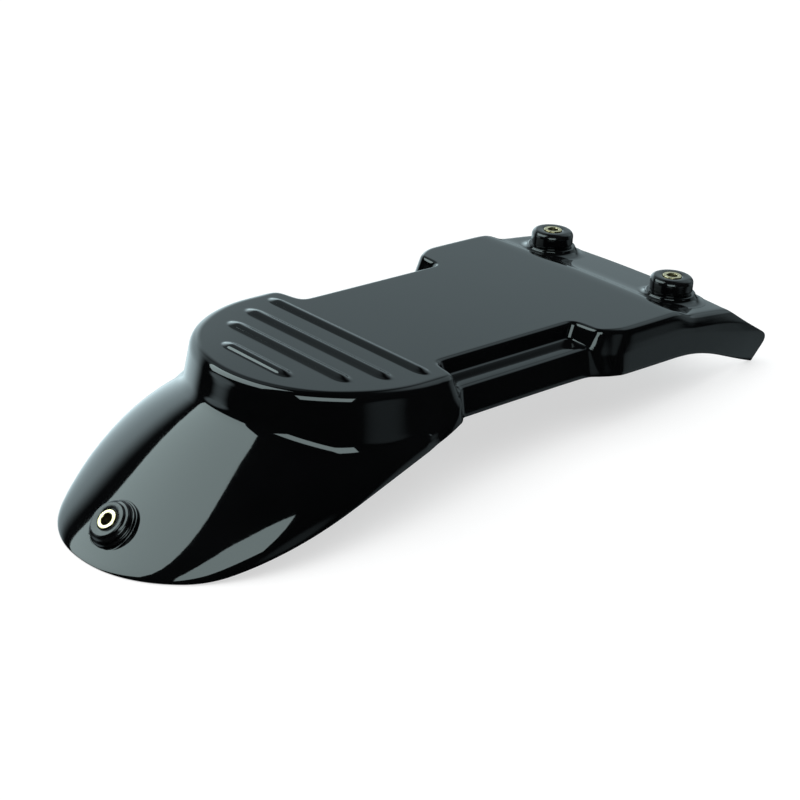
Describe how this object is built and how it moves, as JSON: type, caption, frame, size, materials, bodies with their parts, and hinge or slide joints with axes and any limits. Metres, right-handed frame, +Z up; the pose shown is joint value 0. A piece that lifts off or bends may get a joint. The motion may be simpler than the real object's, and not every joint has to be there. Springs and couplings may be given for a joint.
{
  "type": "motorcycle rear fender",
  "caption": "Thin gloss rear fender moulding with a ribbed round-fronted platform, a recessed deck, a drooping nose and side wings, held on rubber-damped metal sleeves.",
  "frame": {"origin": "middle of the footprint, on the ground that the nose edge and the two wing tips rest on", "axes": "+X from the drooping nose to the rear flange, +Y to the left when facing +X, +Z up"},
  "size_m": [0.4428, 0.1658, 0.077],
  "materials": {
    "gloss_shell": "deep black high-gloss moulding",
    "grommet_rubber": "smooth black moulded rubber with a soft sheen",
    "sleeve_metal": "turned, bright, pale yellow"
  },
  "bodies": {
    "root": {"fender_shell": "gloss_shell", "nose_grommet": "grommet_rubber", "rear_left_grommet": "grommet_rubber", "rear_right_grommet": "grommet_rubber", "nose_sleeve": "sleeve_metal", "rear_left_sleeve": "sleeve_metal", "rear_right_sleeve": "sleeve_metal"}
  },
  "joints": []
}
